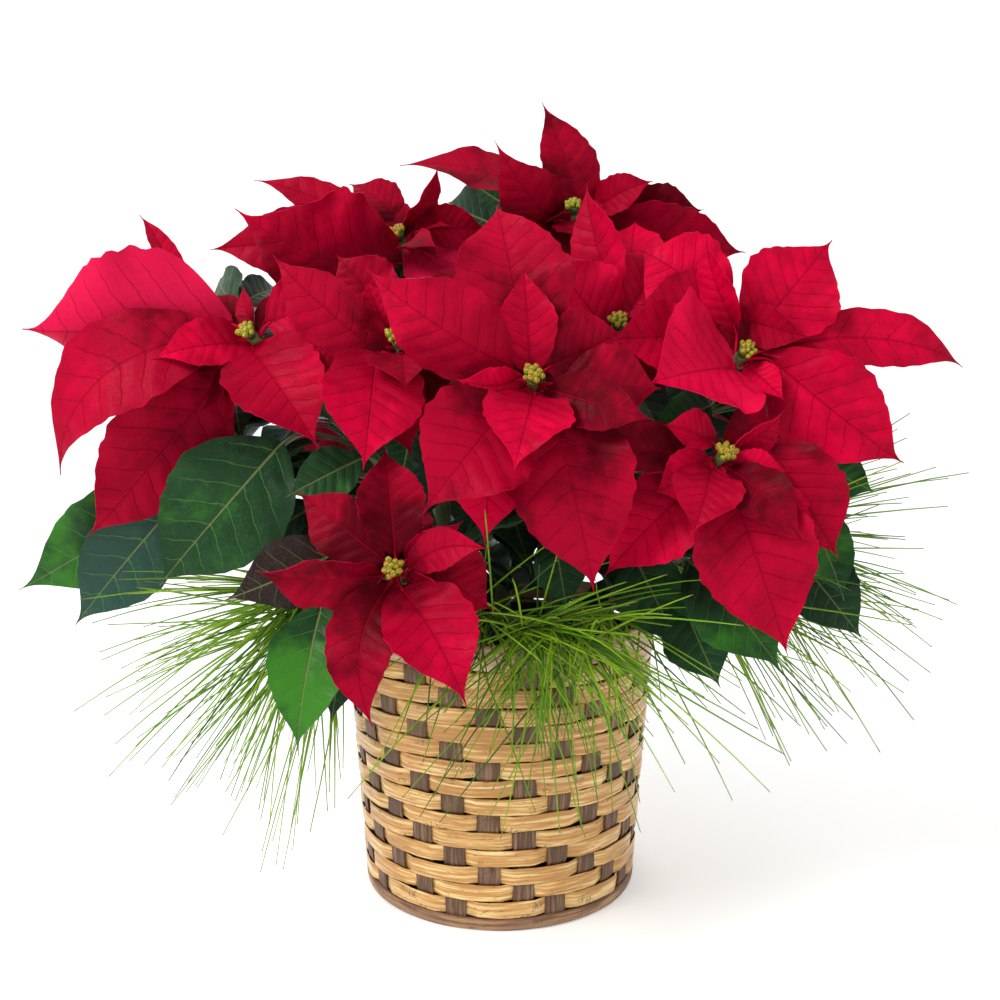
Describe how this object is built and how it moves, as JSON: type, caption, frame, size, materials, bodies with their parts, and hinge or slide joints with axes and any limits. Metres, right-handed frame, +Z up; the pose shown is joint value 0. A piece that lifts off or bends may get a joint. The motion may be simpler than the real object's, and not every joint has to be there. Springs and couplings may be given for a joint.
{
  "type": "potted poinsettia in a woven basket",
  "caption": "Red poinsettia in bloom with green leaves and sprays of long pine needles, standing in a round woven basket.",
  "frame": {"origin": "centre of the basket's foot, on the surface it stands on", "axes": "+Z up the basket's axis; the side seen in the picture faces -Y"},
  "size_m": [0.6068, 0.469, 0.5409],
  "materials": {
    "weaver": "flat tan strips of split cane, half gloss",
    "rim": "wide tan strip, half gloss",
    "binding": "brown split cane",
    "stake": "dark brown split cane",
    "pot": "thin black plastic",
    "soil": "damp potting soil",
    "bract": "velvety red bract, veined",
    "leaf": "dark green leaf, pale veins, half gloss",
    "flower": "waxy yellow-green",
    "needle": "glossy yellow-green needle"
  },
  "bodies": {
    "root": {"back_left_bracts": "bract", "back_left_flowers": "flower", "back_middle_bracts": "bract", "back_middle_flowers": "flower", "back_right_bracts": "bract", "back_right_flowers": "flower", "back_top_bracts": "bract", "back_top_flowers": "flower", "basket_floor": "stake", "basket_foot": "binding", "basket_rim": "rim", "basket_wall": "weaver", "centre_bracts": "bract", "centre_flowers": "flower", "far_left_bracts": "bract", "far_left_flowers": "flower", "grow_pot": "pot", "left_bracts": "bract", "left_flowers": "flower", "left_plant": "leaf", "lower_left_bracts": "bract", "lower_left_flowers": "flower", "lower_right_bracts": "bract", "lower_right_flowers": "flower", "middle_plant": "leaf", "pine_spray_back": "needle", "pine_spray_front": "needle", "pine_spray_left": "needle", "pine_spray_right": "needle", "right_bracts": "bract", "right_flowers": "flower", "right_plant": "leaf", "soil": "soil", "top_bracts": "bract", "top_flowers": "flower", "upper_left_bracts": "bract", "upper_left_flowers": "flower", "upper_right_bracts": "bract", "upper_right_flowers": "flower"}
  },
  "joints": []
}
